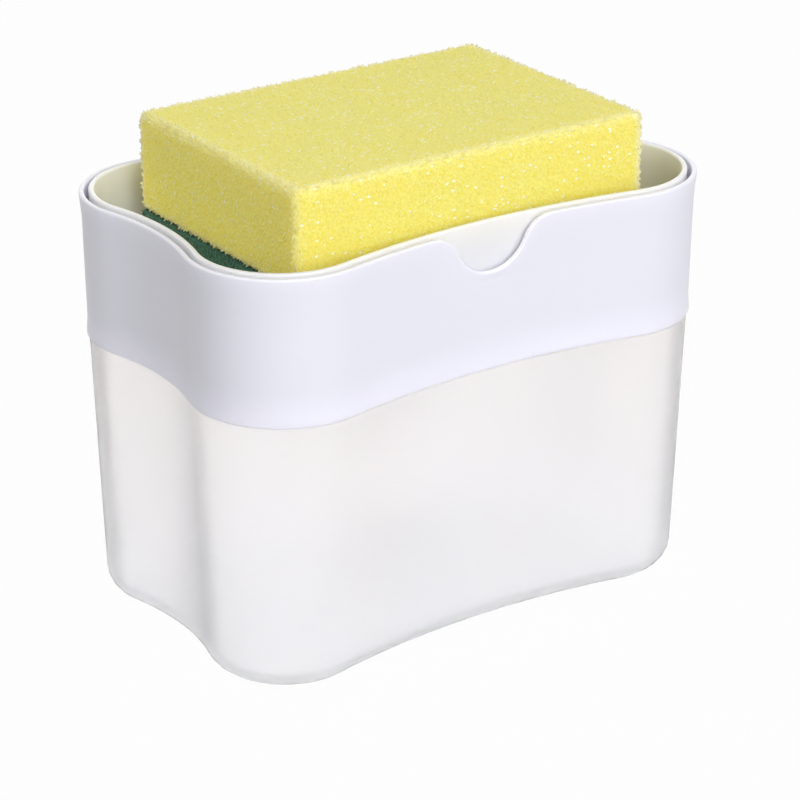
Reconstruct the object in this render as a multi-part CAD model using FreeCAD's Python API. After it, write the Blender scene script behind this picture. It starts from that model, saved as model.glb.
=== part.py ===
import FreeCAD, Part

import math
import os

# Soap pump caddy: a frosted soap tank, a white wavy deck band that closes it, a press pump in
# the middle of the deck, and a sponge tray that stands on the pump head. Pressing the sponge
# and its tray down brings soap up through the middle of the tray.
# Millimetres. +X runs along the caddy, +Y to its back, +Z up. The origin is the middle of the
# base, on the table. All insets are measured inwards from the outline of the band's rim.

# Sponge: soft foam on a scouring pad, and the room round it in the tray
sponge_length = 100.0
sponge_width = 70.0
sponge_edge_round = 1.2
sponge_seat_gap = 0.3
foam_thickness = 25.0
scourer_thickness = 6.0
sponge_end_gap = 13.1
sponge_side_gap = 2.75

# Plan outline at the band's rim: four round corners joined by four hollow sides
corner_radius = 23.1
long_side_dip = 5.0
short_side_dip = 3.2

# Deck band, its deck a little above its lower edge
band_bottom = 69.8
band_height = 36.4
deck_rise = 4.2
band_wall = 1.3
band_draft_share = 0.0105
rim_flare = 0.4
rim_flare_height = 6.0
skirt_flare = 0.35
skirt_flare_height = 4.0
rim_bevel = 0.4
deck_thickness = 1.8

# Finger notch in the front of the band
notch_depth = 11.4
notch_bottom_radius = 10.8
notch_shoulder_radius = 8.0

# Pump well sunk in the middle of the deck
well_radius = 20.0
well_wall = 1.6
well_depth = 11.0
well_floor = 1.8

# Soap tank
tank_wall = 1.6
tank_floor = 2.0
tank_step = 0.25
tank_draft_share = 0.028
tank_base_round = 6.2
base_round_steps = 3
inner_round_steps = 1
tank_neck_wall = 1.4
tank_neck_clearance = 0.3
tank_joggle_height = 2.0
seam_gap = 0.3

# Sponge tray
tray_gap = 1.0
tray_wall = 1.4
tray_rise = 0.5
tray_draft_share = 0.03
tray_floor = 1.6
tray_round = 4.0
tray_round_steps = 2
tray_rib_height = 1.5
tray_rib_width = 1.6
tray_rib_pitch = 12.0
tray_rib_end_gap = 6.0
tray_rib_pairs = 4
tray_socket_depth = 4.0
tray_socket_wall = 1.6
tray_socket_clearance = 0.3
drain_slot_length = 14.0
drain_slot_width = 2.6
drain_slot_place = 22.0

# The slots stand this share of the rib pitch beside the middle, between two ribs
drain_slot_pitch_share = 1.5

# Press head and its spout; its hub stops the stroke just above the stem guide, and the tray
# then still clears the deck
press_stroke = 10.0
pressed_tray_gap = 2.6
head_radius = 15.0
head_wall = 1.6
head_top = 2.0
head_skirt = 8.2
head_bevel = 0.6
head_hub_wall = 2.2
head_stop_gap = 0.4
spout_radius = 4.0
spout_orifice = 1.2
spout_clearance = 0.3

# Pump cylinder, hung through the floor of the well
bore_radius = 6.6
cylinder_wall = 1.2
cylinder_length = 36.0
cylinder_collar_radius = 9.5
cylinder_collar_height = 3.0
flange_radius = 13.5
flange_thickness = 2.0
gasket_radius = 12.6
gasket_thickness = 1.2
valve_neck_wall = 1.4
valve_throat_length = 1.2
valve_neck_taper = 3.0
socket_length = 6.5
pump_hole_clearance = 0.2
assembly_clearance = 0.1

# Lock nut below the floor of the well
nut_radius = 12.2
nut_height = 7.0
nut_rib_radius = 1.0
nut_rib_count = 6

# Stem guide, snapped into the top of the cylinder
guide_flange = 1.6
guide_depth = 8.0
running_clearance = 0.08

# Stem, piston and valves
stem_radius = 4.0
stem_bore_radius = 2.4
stem_throat_radius = 1.2
stem_throat_length = 2.0
piston_height = 6.0
piston_gap = 0.4
piston_waist = 1.2
piston_lip = 1.4
rod_neck_radius = 2.3
rod_bore_radius = 1.1
rod_insert = 7.0
rod_flange_radius = 5.4
rod_flange = 1.5
rod_spigot_radius = 3.0
rod_spigot = 4.0
cage_thickness = 1.6
cage_hole_radius = 0.9
cage_hole_circle = 3.3
cage_hole_count = 3
inlet_ball_radius = 2.5
inlet_throat_radius = 1.6
outlet_ball_radius = 2.0
ball_lift = 1.5
ball_side_gap = 0.8
ball_seat_gap = 0.03
ball_roof_gap = 0.3

# Return spring, from the ball cage to the piston rod
spring_coil_radius = 4.4
spring_wire_radius = 0.45
spring_turns = 6
spring_wire_sides = 6
spring_seat_gap = 0.1

# Dip tube
dip_radius = 2.5
dip_wall = 0.6
dip_foot_gap = 2.0

# One overrun for every cut, and the share of it within which an edge counts as on a level
overrun = 1.0
level_share = 0.01

# The body's size and the levels, worked out from the sizes above
body_length = sponge_length + 2 * (sponge_end_gap + tray_wall + tray_gap + band_wall + short_side_dip)
body_width = sponge_width + 2 * (sponge_side_gap + tray_wall + tray_gap + band_wall + long_side_dip)
rim_height = band_bottom + band_height
deck_underside = band_bottom + deck_rise
deck_top = deck_underside + deck_thickness
well_top_of_floor = deck_top - well_depth
well_underside = well_top_of_floor - well_floor
flange_bottom = well_top_of_floor + gasket_thickness
flange_top = flange_bottom + flange_thickness
cylinder_floor_height = flange_bottom - cylinder_length
collar_top = flange_top + cylinder_collar_height
guide_bottom = collar_top - guide_depth
cylinder_radius = bore_radius + cylinder_wall
tray_underside = deck_top + press_stroke + pressed_tray_gap
tray_floor_top = tray_underside + tray_floor
tray_rim = rim_height + tray_rise
sponge_bottom = tray_floor_top + tray_rib_height + sponge_seat_gap
head_ceiling = tray_underside - head_top
piston_top = guide_bottom - piston_gap
piston_bottom = piston_top - piston_height
rod_bottom = piston_bottom - rod_flange
spring_bottom = cylinder_floor_height + cage_thickness
shoulder = band_bottom - seam_gap


def point(x, y, z):
    return FreeCAD.Vector(x, y, z)


def outline_arcs():
    """The eight arcs of the rim's outline, anticlockwise from the right side's middle.

    Each is (centre, radius, sense, start angle, sweep). An inset point lies at a distance of
    radius - sense * inset from the centre: sense is 1 in a corner and -1 on a hollow side.
    """
    corner_x = body_length / 2 - corner_radius
    corner_y = body_width / 2 - corner_radius
    long_radius = (corner_x ** 2 + long_side_dip ** 2) / (2 * long_side_dip) - corner_radius
    short_radius = (corner_y ** 2 + short_side_dip ** 2) / (2 * short_side_dip) - corner_radius
    long_y = body_width / 2 - long_side_dip + long_radius
    short_x = body_length / 2 - short_side_dip + short_radius
    short_half = math.atan2(corner_y, short_x - corner_x)
    long_half = math.atan2(corner_x, long_y - corner_y)
    corner_sweep = math.pi / 2 + short_half + long_half
    quarter = math.pi / 2

    sides = [
        (point(short_x, 0, 0), short_radius, short_half),
        (point(0, long_y, 0), long_radius, long_half),
        (point(-short_x, 0, 0), short_radius, short_half),
        (point(0, -long_y, 0), long_radius, long_half),
    ]
    corner_starts = [-short_half, quarter - long_half, 2 * quarter - short_half, 3 * quarter - long_half]
    signs = [(1, 1), (-1, 1), (-1, -1), (1, -1)]
    arcs = []
    for index, (centre, radius, half) in enumerate(sides):
        facing = index * quarter + math.pi
        arcs.append((centre, radius, -1, facing + half, -2 * half))
        sign_x, sign_y = signs[index]
        corner = point(sign_x * corner_x, sign_y * corner_y, 0)
        arcs.append((corner, corner_radius, 1, corner_starts[index], corner_sweep))
    return arcs


def on_arc(arc, angle, inset, height):
    centre, radius, sense = arc[:3]
    reach = radius - sense * inset
    return point(centre.x + reach * math.cos(angle), centre.y + reach * math.sin(angle), height)


def outline(inset, height):
    """The closed outline at this inset and height."""
    edges = []
    for arc in outline_arcs():
        start, sweep = arc[3:]
        ends = [on_arc(arc, start + share * sweep, inset, height) for share in (0, 0.5, 1)]
        edges.append(Part.Arc(*ends).toShape())
    return Part.Wire(edges)


def hull(stations):
    """The solid that runs straight from outline to outline, up through (inset, height) stations."""
    return Part.makeLoft([outline(inset, height) for inset, height in stations], True, True)


def base_round(inset, foot, radius, steps):
    """Stations that carry a flat base up into a wall at this inset, round a quarter circle."""
    stations = []
    for step in range(steps + 1):
        angle = math.pi / 2 * (1 - step / steps)
        stations.append((inset + radius * (1 - math.cos(angle)), foot + radius * (1 - math.sin(angle))))
    return stations


def turned(corners):
    """A round piece on the pump's axis, its section given by corners (radius, height, bevel)."""
    points = []
    for index, (radius, height, bevel) in enumerate(corners):
        here = point(radius, 0, height)
        for neighbour in (corners[index - 1], corners[(index + 1) % len(corners)]):
            towards = point(neighbour[0], 0, neighbour[1]) - here
            towards.normalize()
            points.append(here + towards * bevel)
            if bevel == 0:
                break
    face = Part.Face(Part.makePolygon(points + points[:1]))
    return face.revolve(point(0, 0, 0), point(0, 0, 1), 360)


def disc(radius, bottom, top, x=0, y=0):
    return Part.makeCylinder(radius, top - bottom, point(x, y, bottom))


def ring(inner, outer, bottom, top):
    return disc(outer, bottom, top).cut(disc(inner, bottom - overrun, top + overrun))


def one_solid(shape):
    """Merges faces that run on into each other and hands back the single solid."""
    return shape.removeSplitter().Solids[0]


def band_inset(height):
    """Inset of the band's outer wall between its two flares."""
    return rim_flare + band_draft_share * (rim_height - height)


def tank_inset(height):
    return band_inset(band_bottom) + tank_step + tank_draft_share * (shoulder - height)


def neck_inset():
    return band_inset(band_bottom) + band_wall + tank_neck_clearance


def tray_inset(height):
    return band_wall + tray_gap + tray_draft_share * (tray_rim - height)


def tank():
    """Frosted reservoir: drafted wavy walls, a big round at the base and a stepped-in neck."""
    neck = neck_inset()
    inside = neck + tank_neck_wall
    joggle = shoulder - tank_joggle_height
    outer_round = base_round(tank_inset(tank_base_round), 0, tank_base_round, base_round_steps)
    inner_radius = tank_base_round - tank_wall
    inner_inset = tank_inset(tank_floor + inner_radius) + tank_wall
    inner_round = base_round(inner_inset, tank_floor, inner_radius, inner_round_steps)
    body = hull(outer_round + [(tank_inset(shoulder), shoulder)])
    collar = hull([(neck, shoulder - tank_joggle_height), (neck, deck_underside)])
    hollow = hull(inner_round + [
        (tank_inset(joggle) + tank_wall, joggle),
        (inside, shoulder),
        (inside, deck_underside + overrun),
    ])
    return one_solid(body.fuse(collar).cut(hollow))


def notch_cutter():
    """Outline of the finger notch, a round bottom that runs out into two round shoulders."""
    radii = notch_bottom_radius + notch_shoulder_radius
    turn = math.acos(1 - notch_depth / radii)
    half_width = radii * math.sin(turn)
    bottom = rim_height - notch_depth
    bottom_middle = bottom + notch_bottom_radius
    join_x = notch_bottom_radius * math.sin(turn)
    join_z = bottom_middle - notch_bottom_radius * math.cos(turn)
    shoulder_middle = rim_height - notch_shoulder_radius
    crown_x = half_width - notch_shoulder_radius * math.sin(turn / 2)
    crown_z = shoulder_middle + notch_shoulder_radius * math.cos(turn / 2)
    above = rim_height + overrun
    front = -body_width / 2 - overrun

    def at(x, z):
        return point(x, front, z)

    edges = [
        Part.LineSegment(at(-half_width, above), at(-half_width, rim_height)),
        Part.Arc(at(-half_width, rim_height), at(-crown_x, crown_z), at(-join_x, join_z)),
        Part.Arc(at(-join_x, join_z), at(0, bottom), at(join_x, join_z)),
        Part.Arc(at(join_x, join_z), at(crown_x, crown_z), at(half_width, rim_height)),
        Part.LineSegment(at(half_width, rim_height), at(half_width, above)),
        Part.LineSegment(at(half_width, above), at(-half_width, above)),
    ]
    face = Part.Face(Part.Wire([edge.toShape() for edge in edges]))
    return face.extrude(point(0, body_width / 2, 0))


def rim_edges(body):
    """The outer and the inner edge of the rim, each running down through the notch."""
    tolerance = level_share * overrun
    edges = []
    for edge in body.Edges:
        box = edge.BoundBox
        in_rim = box.ZMin > rim_height - tolerance
        in_notch = box.ZMin > rim_height - notch_depth - tolerance and box.ZLength > tolerance
        if (in_rim or in_notch) and edge.Curve.TypeId != "Part::GeomLine":
            edges.append(edge)
    return edges


def band_wall_solid():
    """The wavy wall with its flares, open above and below the deck."""
    skirt_top = band_bottom + skirt_flare_height
    flare_bottom = rim_height - rim_flare_height
    outside = hull([
        (band_inset(band_bottom) - skirt_flare, band_bottom),
        (band_inset(skirt_top), skirt_top),
        (band_inset(flare_bottom), flare_bottom),
        (0, rim_height),
    ])
    basin = hull([
        (band_inset(deck_top) + band_wall, deck_top),
        (band_wall, rim_height),
        (band_wall, rim_height + overrun),
    ])
    skirt = band_inset(band_bottom) + band_wall
    below = hull([(skirt, band_bottom - overrun), (skirt, deck_underside)])
    return outside.cut([basin, below])


def pump_well():
    hole = cylinder_radius + pump_hole_clearance
    well_outside = well_radius + well_wall
    return turned([
        (hole, well_underside, 0),
        (well_outside, well_underside, 0),
        (well_outside, deck_top, 0),
        (well_radius, deck_top, 0),
        (well_radius, well_top_of_floor, 0),
        (hole, well_top_of_floor, 0),
    ])


def deck_band():
    """White wavy band with its deck, the finger notch and the sunk pump well."""
    mouth = disc(well_radius + well_wall / 2, deck_underside - overrun, deck_top + overrun)
    wall = band_wall_solid().cut([mouth, notch_cutter()]).removeSplitter()
    wall = wall.makeChamfer(rim_bevel, rim_edges(wall))
    return one_solid(wall.fuse(pump_well()))


def tray_ribs():
    """Low ribs across the tray that hold the sponge clear of the floor."""
    ribs = []
    half_row = body_width / 2 - long_side_dip - tray_inset(tray_floor_top) - tray_wall - tray_rib_end_gap
    for step in range(1, tray_rib_pairs + 1):
        for side in (-1, 1):
            corner = point(side * step * tray_rib_pitch - tray_rib_width / 2, -half_row, tray_floor_top)
            ribs.append(Part.makeBox(tray_rib_width, 2 * half_row, tray_rib_height, corner))
    return ribs


def drain_slots():
    """Two short slots on each side of the spout, between the ribs."""
    slots = []
    half_bar = drain_slot_length / 2 - drain_slot_width / 2
    lowest = tray_underside - overrun
    highest = tray_floor_top + overrun
    for side_x in (-1, 1):
        for side_y in (-1, 1):
            x = side_x * drain_slot_pitch_share * tray_rib_pitch
            y = side_y * drain_slot_place
            bar = Part.makeBox(
                drain_slot_width, 2 * half_bar, highest - lowest,
                point(x - drain_slot_width / 2, y - half_bar, lowest),
            )
            ends = [disc(drain_slot_width / 2, lowest, highest, x, y + end * half_bar) for end in (-1, 1)]
            slots.append(bar.fuse(ends))
    return slots


def sponge_tray():
    """Cream tray with a ribbed floor, the spout's hole and a socket for the press head."""
    outer_foot = tray_inset(tray_underside + tray_round)
    inner_radius = tray_round - tray_wall
    inner_foot = tray_inset(tray_floor_top + inner_radius) + tray_wall
    rim_outside = tray_inset(tray_rim)
    rim_inside = rim_outside + tray_wall
    outside = hull(base_round(outer_foot, tray_underside, tray_round, tray_round_steps) + [
        (rim_outside, tray_rim - rim_bevel),
        (rim_outside + rim_bevel, tray_rim),
    ])
    hollow = hull(base_round(inner_foot, tray_floor_top, inner_radius, inner_round_steps) + [
        (rim_inside, tray_rim - rim_bevel),
        (rim_inside - rim_bevel, tray_rim),
        (rim_inside - rim_bevel, tray_rim + overrun),
    ])
    socket_radius = head_radius + tray_socket_clearance
    socket_bottom = tray_underside - tray_socket_depth
    socket = ring(socket_radius, socket_radius + tray_socket_wall, socket_bottom, tray_underside)
    body = outside.cut(hollow).fuse([socket] + tray_ribs())
    spout_hole = disc(spout_radius + spout_clearance, tray_underside - overrun, tray_floor_top + overrun)
    return one_solid(body.cut([spout_hole] + drain_slots()))


def sponge_block(bottom, thickness):
    corner = point(-sponge_length / 2, -sponge_width / 2, bottom)
    block = Part.makeBox(sponge_length, sponge_width, thickness, corner)
    upright = [edge for edge in block.Edges if edge.BoundBox.ZLength > thickness / 2]
    return block.makeFillet(sponge_edge_round, upright)


def scourer_pad():
    return sponge_block(sponge_bottom, scourer_thickness)


def sponge_foam():
    return sponge_block(sponge_bottom + scourer_thickness, foam_thickness)


def press_head():
    """Cap on the stem that carries the tray, with the spout that enters the tray's floor."""
    skirt_bottom = tray_underside - head_skirt
    hub_bottom = collar_top + guide_flange + head_stop_gap + press_stroke
    socket = stem_radius + assembly_clearance
    hub = socket + head_hub_wall
    return turned([
        (spout_orifice, head_ceiling, 0),
        (socket, head_ceiling, 0),
        (socket, hub_bottom, 0),
        (hub, hub_bottom, 0),
        (hub, head_ceiling, 0),
        (head_radius - head_wall, head_ceiling, 0),
        (head_radius - head_wall, skirt_bottom, 0),
        (head_radius, skirt_bottom, 0),
        (head_radius, tray_underside, head_bevel),
        (spout_radius, tray_underside, 0),
        (spout_radius, tray_floor_top, head_bevel),
        (spout_orifice, tray_floor_top, 0),
    ])


def seat_height(centre, ball_radius, throat_radius):
    """Foot of the 45 degree cone that a ball with this centre just clears."""
    return centre + throat_radius - math.sqrt(2) * (ball_radius + ball_seat_gap)


def outlet_ball_centre():
    return head_ceiling - ball_roof_gap - ball_lift - outlet_ball_radius


def inlet_ball_centre():
    return cylinder_floor_height - ball_roof_gap - ball_lift - inlet_ball_radius


def pump_stem():
    """Hollow stem with the outlet valve's cone seat and ball chamber in its upper end."""
    chamber = outlet_ball_radius + ball_side_gap
    seat = seat_height(outlet_ball_centre(), outlet_ball_radius, stem_throat_radius)
    return turned([
        (stem_bore_radius, piston_top, 0),
        (stem_radius, piston_top, 0),
        (stem_radius, head_ceiling, 0),
        (chamber, head_ceiling, 0),
        (chamber, seat + chamber - stem_throat_radius, 0),
        (stem_throat_radius, seat, 0),
        (stem_throat_radius, seat - stem_throat_length, 0),
        (stem_bore_radius, seat - stem_throat_length, 0),
    ])


def outlet_ball():
    return Part.makeSphere(outlet_ball_radius, point(0, 0, outlet_ball_centre()))


def inlet_ball():
    return Part.makeSphere(inlet_ball_radius, point(0, 0, inlet_ball_centre()))


def piston_rod():
    """Hollow rod held in the stem: neck, flange under the piston and spigot in the spring."""
    return turned([
        (rod_bore_radius, rod_bottom - rod_spigot, 0),
        (rod_spigot_radius, rod_bottom - rod_spigot, 0),
        (rod_spigot_radius, rod_bottom, 0),
        (rod_flange_radius, rod_bottom, 0),
        (rod_flange_radius, piston_bottom, 0),
        (rod_neck_radius, piston_bottom, 0),
        (rod_neck_radius, piston_top + rod_insert, 0),
        (rod_bore_radius, piston_top + rod_insert, 0),
    ])


def piston_seal():
    """Piston with a wiping lip at each end and a waist between them."""
    wall = bore_radius - running_clearance
    waist = wall - piston_waist
    return turned([
        (rod_neck_radius + assembly_clearance, piston_bottom, 0),
        (wall, piston_bottom, 0),
        (wall, piston_bottom + piston_lip, 0),
        (waist, piston_bottom + piston_lip + piston_waist, 0),
        (waist, piston_top - piston_lip - piston_waist, 0),
        (wall, piston_top - piston_lip, 0),
        (wall, piston_top, 0),
        (rod_neck_radius + assembly_clearance, piston_top, 0),
    ])


def stem_guide():
    """Flanged bush that keeps the stem upright and stops the piston's upward stroke."""
    hole = stem_radius + running_clearance
    sleeve = bore_radius - assembly_clearance
    return turned([
        (hole, guide_bottom, 0),
        (sleeve, guide_bottom, 0),
        (sleeve, collar_top, 0),
        (cylinder_collar_radius, collar_top, 0),
        (cylinder_collar_radius, collar_top + guide_flange, 0),
        (hole, collar_top + guide_flange, 0),
    ])


def pump_cylinder():
    """Flanged pump housing with the inlet valve's cone seat and the socket of the dip tube."""
    chamber = inlet_ball_radius + ball_side_gap
    seat = seat_height(inlet_ball_centre(), inlet_ball_radius, inlet_throat_radius)
    throat_bottom = seat - valve_throat_length
    socket = dip_radius + assembly_clearance
    neck = chamber + valve_neck_wall
    socket_bottom = throat_bottom - socket_length
    return turned([
        (bore_radius, collar_top, 0),
        (bore_radius, cylinder_floor_height, 0),
        (chamber, cylinder_floor_height, 0),
        (chamber, seat + chamber - inlet_throat_radius, 0),
        (inlet_throat_radius, seat, 0),
        (inlet_throat_radius, throat_bottom, 0),
        (socket, throat_bottom, 0),
        (socket, socket_bottom, 0),
        (neck, socket_bottom, 0),
        (neck, cylinder_floor_height - valve_neck_taper, 0),
        (cylinder_radius, cylinder_floor_height, 0),
        (cylinder_radius, flange_bottom, 0),
        (flange_radius, flange_bottom, 0),
        (flange_radius, flange_top, 0),
        (cylinder_collar_radius, flange_top, 0),
        (cylinder_collar_radius, collar_top, 0),
    ])


def ball_cage():
    """Holed disc on the cylinder's floor: it stops the inlet ball and carries the spring."""
    top = cylinder_floor_height + cage_thickness
    body = disc(bore_radius - assembly_clearance, cylinder_floor_height, top)
    holes = []
    for index in range(cage_hole_count):
        angle = 2 * math.pi * index / cage_hole_count
        x = (cage_hole_circle - cage_hole_radius) * math.cos(angle)
        y = (cage_hole_circle - cage_hole_radius) * math.sin(angle)
        holes.append(disc(cage_hole_radius, cylinder_floor_height - overrun, top + overrun, x, y))
    return one_solid(body.cut(holes))


def pump_gasket():
    return ring(cylinder_radius + assembly_clearance, gasket_radius, well_top_of_floor, flange_bottom)


def lock_nut():
    """Ribbed nut that pulls the cylinder's flange down on its gasket."""
    bottom = well_underside - nut_height
    body = disc(nut_radius, bottom, well_underside)
    ribs = []
    for index in range(nut_rib_count):
        angle = 2 * math.pi * index / nut_rib_count
        ribs.append(disc(
            nut_rib_radius, bottom, well_underside,
            nut_radius * math.cos(angle), nut_radius * math.sin(angle),
        ))
    hole = disc(cylinder_radius + assembly_clearance, bottom - overrun, well_underside + overrun)
    return one_solid(body.fuse(ribs).cut(hole))


def dip_tube():
    seat = seat_height(inlet_ball_centre(), inlet_ball_radius, inlet_throat_radius)
    top = seat - valve_throat_length - assembly_clearance
    return ring(dip_radius - dip_wall, dip_radius, tank_floor + dip_foot_gap, top)


def spring_point(turn, pitch, low):
    angle = 2 * math.pi * turn
    return point(
        spring_coil_radius * math.cos(angle), spring_coil_radius * math.sin(angle), low + pitch * turn,
    )


def spring_heading(turn, pitch):
    angle = 2 * math.pi * turn
    girth = 2 * math.pi * spring_coil_radius
    return point(-math.sin(angle) * girth, math.cos(angle) * girth, pitch).normalize()


def arc_between(start, corner, end):
    """The arc from start to end that touches both legs of the corner."""
    middle = (start + end) / 2
    half_chord = (end - start).Length / 2
    rise = (corner - middle).Length
    leg = (corner - start).Length
    crown = middle + (corner - middle) * (half_chord * (leg - half_chord) / rise ** 2)
    return Part.Arc(start, crown, end).toShape()


def return_spring():
    """Compression spring: one wire on two tangent arcs to each half turn."""
    low = spring_bottom + spring_wire_radius + spring_seat_gap
    high = rod_bottom - spring_wire_radius - spring_seat_gap
    pitch = (high - low) / spring_turns
    edges = []
    for half in range(2 * spring_turns):
        begin = half / 2
        end = (half + 1) / 2
        first = spring_point(begin, pitch, low)
        last = spring_point(end, pitch, low)
        out_heading = spring_heading(begin, pitch)
        in_heading = spring_heading(end, pitch)
        chord = last - first
        both = out_heading + in_heading
        bend = 2 * (1 - out_heading.dot(in_heading))
        along = chord.dot(both)
        reach = (math.sqrt(along ** 2 + bend * chord.dot(chord)) - along) / bend
        leave = first + out_heading * reach
        arrive = last - in_heading * reach
        joint = (leave + arrive) / 2
        edges.append(arc_between(first, leave, joint))
        edges.append(arc_between(joint, arrive, last))
    path = Part.Wire(edges)
    start = spring_point(0, pitch, low)
    outward = point(spring_wire_radius, 0, 0)
    upward = outward.cross(spring_heading(0, pitch))
    corners = []
    for side in range(spring_wire_sides + 1):
        angle = 2 * math.pi * side / spring_wire_sides
        corners.append(start + outward * math.cos(angle) + upward * math.sin(angle))
    section = Part.makePolygon(corners)
    print("spring: gap between its turns", round(pitch - 2 * spring_wire_radius, 3), "mm")
    return path.makePipeShell([section], True, False)


parts = {
    "tank": tank,
    "deck_band": deck_band,
    "lock_nut": lock_nut,
    "pump_gasket": pump_gasket,
    "pump_cylinder": pump_cylinder,
    "stem_guide": stem_guide,
    "ball_cage": ball_cage,
    "inlet_ball": inlet_ball,
    "dip_tube": dip_tube,
    "return_spring": return_spring,
    "piston_rod": piston_rod,
    "piston_seal": piston_seal,
    "pump_stem": pump_stem,
    "outlet_ball": outlet_ball,
    "press_head": press_head,
    "sponge_tray": sponge_tray,
    "scourer_pad": scourer_pad,
    "sponge_foam": sponge_foam,
}

os.makedirs("parts", exist_ok=True)
for name, make in parts.items():
    shape = make()
    shape.exportStep("parts/" + name + ".step")
    box = shape.BoundBox
    print(
        name, "valid", shape.isValid(), "solids", len(shape.Solids), "volume", round(shape.Volume, 2),
        "z", round(box.ZMin, 2), "to", round(box.ZMax, 2),
    )
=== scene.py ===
import math

import bmesh
import bpy
import numpy as np
from mathutils import Matrix, Vector, noise


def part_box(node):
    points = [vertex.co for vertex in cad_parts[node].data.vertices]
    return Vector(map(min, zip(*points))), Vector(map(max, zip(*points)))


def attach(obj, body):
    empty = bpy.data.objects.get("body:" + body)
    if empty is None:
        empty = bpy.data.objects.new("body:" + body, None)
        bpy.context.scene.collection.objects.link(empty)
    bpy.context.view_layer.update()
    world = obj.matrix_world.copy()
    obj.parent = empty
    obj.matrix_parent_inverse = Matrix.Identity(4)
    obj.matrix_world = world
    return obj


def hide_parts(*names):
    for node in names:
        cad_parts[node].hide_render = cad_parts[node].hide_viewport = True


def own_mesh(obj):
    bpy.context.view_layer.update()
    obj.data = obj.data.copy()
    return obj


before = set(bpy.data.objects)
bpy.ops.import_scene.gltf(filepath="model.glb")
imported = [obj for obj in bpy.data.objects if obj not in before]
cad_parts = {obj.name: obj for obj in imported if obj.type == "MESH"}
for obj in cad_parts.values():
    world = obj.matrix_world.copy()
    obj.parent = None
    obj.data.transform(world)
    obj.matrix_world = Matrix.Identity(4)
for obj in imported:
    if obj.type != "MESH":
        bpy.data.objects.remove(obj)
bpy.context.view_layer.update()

# Soap pump caddy: a frosted tank, a white wavy deck band, a cream tray and a sponge, seen from
# the front left on a white studio floor. The pump inside keeps its modelled solids.
# Metres throughout; +X runs along the caddy, +Y to its back, +Z up.

mm = 0.001

# Places read from the frame
rim_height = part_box("deck_band")[1].z
tray_low, tray_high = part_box("sponge_tray")
foam_low, foam_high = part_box("sponge_foam")
scourer_low, scourer_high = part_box("scourer_pad")
tray_floor_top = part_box("press_head")[1].z
well_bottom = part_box("lock_nut")[1].z
spring_low, spring_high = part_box("return_spring")

# Plan outline at the band's rim: four round corners joined by four hollow sides
half_length = 70.0 * mm
half_width = 46.45 * mm
corner_radius = 23.1 * mm
long_side_dip = 5.0 * mm
short_side_dip = 3.2 * mm

# Deck band
band_bottom = 69.8 * mm
band_wall = 1.3 * mm
band_draft_share = 0.0105
rim_flare = 0.4 * mm
rim_flare_height = 6.0 * mm
skirt_flare = 0.35 * mm
skirt_flare_height = 4.0 * mm
rim_round = 0.45 * mm
skirt_round = 0.3 * mm
deck_top = 75.8 * mm
deck_thickness = 1.8 * mm
deck_fillet = 2.0 * mm
well_radius = 20.0 * mm
well_wall = 1.6 * mm
well_depth = 11.0 * mm
well_fillet = 1.5 * mm
pump_hole = 8.0 * mm

# Finger notch in the front of the band
notch_depth = 11.4 * mm
notch_bottom_radius = 10.8 * mm
notch_shoulder_radius = 8.0 * mm
notch_blend_depth = 14.0 * mm
notch_dense_share = 1.1

# Soap tank
tank_wall = 1.6 * mm
tank_floor = 2.0 * mm
tank_step = 0.25 * mm
tank_draft_share = 0.028
tank_base_round = 6.2 * mm
tank_shoulder_round = 0.35 * mm
tank_neck_wall = 1.4 * mm
tank_neck_clearance = 0.3 * mm
tank_joggle_height = 2.0 * mm
seam_gap = 0.3 * mm

# Sponge tray
tray_gap = 1.0 * mm
tray_wall = 1.4 * mm
tray_draft_share = 0.03
tray_floor = 1.6 * mm
tray_round = 4.0 * mm
tray_rim_round = 0.5 * mm
tray_rib_height = 1.5 * mm
tray_rib_width = 1.6 * mm
tray_rib_pitch = 12.0 * mm
tray_rib_end_gap = 6.0 * mm
tray_rib_pairs = 4
socket_inner = 15.3 * mm
socket_wall = 1.6 * mm
spout_hole = 4.3 * mm
drain_slot_length = 14.0 * mm
drain_slot_width = 2.6 * mm
drain_slot_place = 22.0 * mm
drain_slot_pitch_share = 1.5

# Return spring
spring_coil_radius = 4.4 * mm
spring_wire_radius = 0.45 * mm
spring_turns = 6

# Foam: grid steps, edge round, how far its cells sink in and swell, and its torn struts
foam_step = 0.55 * mm
foam_fine_step = 0.22 * mm
foam_fine_reach = 2.4 * mm
foam_edge = 2.2 * mm
foam_cell = 1.3 * mm
foam_cell_depth = 0.12 * mm
foam_cell_steepness = 3
foam_swell = 0.3 * foam_cell_depth
foam_swell_size = 3 * foam_cell
foam_strut = 1.3 * mm
foam_strut_rarity = 12
foam_face_share = 0.27
foam_wear = 3.0 * mm
# The foam's pale edges are wear and painted backlight; these shares take part of it off the edges
# nearest the lens
near_backlight_cut = (0.6, 0.8)  # shares of the worn look taken off the nearest edges, along X and Y

# Scourer: grid steps, edge round, matted fibres and loose strands
scourer_step = 0.6 * mm
scourer_fine_step = 0.3 * mm
scourer_fine_reach = 1.2 * mm
scourer_edge = 0.9 * mm
scourer_fibre = 1.1 * mm
scourer_octaves = 3
scourer_depth = 0.5 * mm
scourer_strand = 0.5 * mm
scourer_strand_rarity = 6
scourer_face_share = 0.5

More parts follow.
